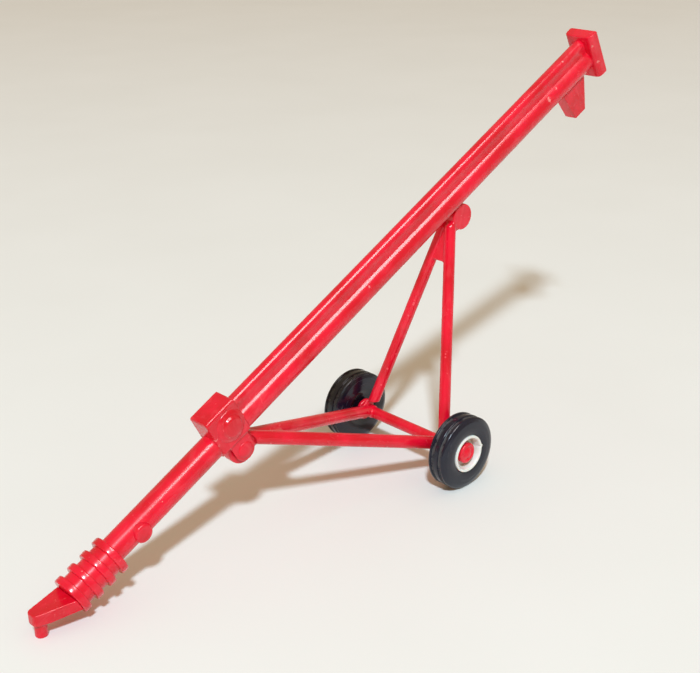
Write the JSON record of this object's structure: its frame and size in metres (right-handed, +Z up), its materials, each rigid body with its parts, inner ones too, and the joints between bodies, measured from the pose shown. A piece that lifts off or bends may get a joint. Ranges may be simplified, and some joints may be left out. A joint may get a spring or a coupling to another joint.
{
  "type": "toy grain auger",
  "caption": "Small red toy grain auger: inclined tube with ribbed intake, gearbox, shaft cover and discharge head, carried on a folding V-frame and A-frame over free-rolling wheels.",
  "frame": {"origin": "on the ground, midway along the length and between the wheels", "axes": "+X along the ground from the hitch towards the discharge end, +Y to the auger's left, +Z up"},
  "size_m": [0.1572, 0.037, 0.0876],
  "materials": {
    "red": "glossy moulded polyethylene",
    "hub_white": "satin moulded plastic",
    "tyre_black": "glossy hard moulded tyre"
  },
  "bodies": {
    "undercarriage": {"lower_frame": "red", "right_axle_pin": "red", "left_axle_pin": "red"},
    "auger": {"lower_tube": "red", "upper_tube": "red", "shaft_cover": "red", "gearbox_housing": "red", "right_bearing_cap": "red", "left_bearing_cap": "red", "intake_collar": "red", "hitch_tongue": "red", "right_button": "red", "discharge_head": "red", "discharge_spout": "red", "pivot_pin": "red"},
    "lift_frame": {"lift_frame": "red"},
    "right_wheel": {"right_tyre": "tyre_black", "right_hub": "hub_white"},
    "left_wheel": {"left_tyre": "tyre_black", "left_hub": "hub_white"}
  },
  "joints": [
    {"name": "lift", "type": "hinge", "parent": "undercarriage", "child": "auger", "pos_m": [-0.0307, 0, 0.0205], "axis": [0, 1, 0], "range_deg": [-8, 14]},
    {"name": "frame_fold", "type": "hinge", "parent": "undercarriage", "child": "lift_frame", "pos_m": [0.01621, 0, 0.008], "axis": [0, 1, 0], "range_deg": [-18, 30]},
    {"name": "right_wheel_spin", "type": "hinge", "parent": "undercarriage", "child": "right_wheel", "pos_m": [0.01621, -0.01605, 0.008], "axis": [0, 1, 0], "continuous": true},
    {"name": "left_wheel_spin", "type": "hinge", "parent": "undercarriage", "child": "left_wheel", "pos_m": [0.01621, 0.01605, 0.008], "axis": [0, 1, 0], "continuous": true}
  ],
  "couplings": [
    {"joint": "frame_fold", "follows": "lift", "ratio": 2.028}
  ]
}
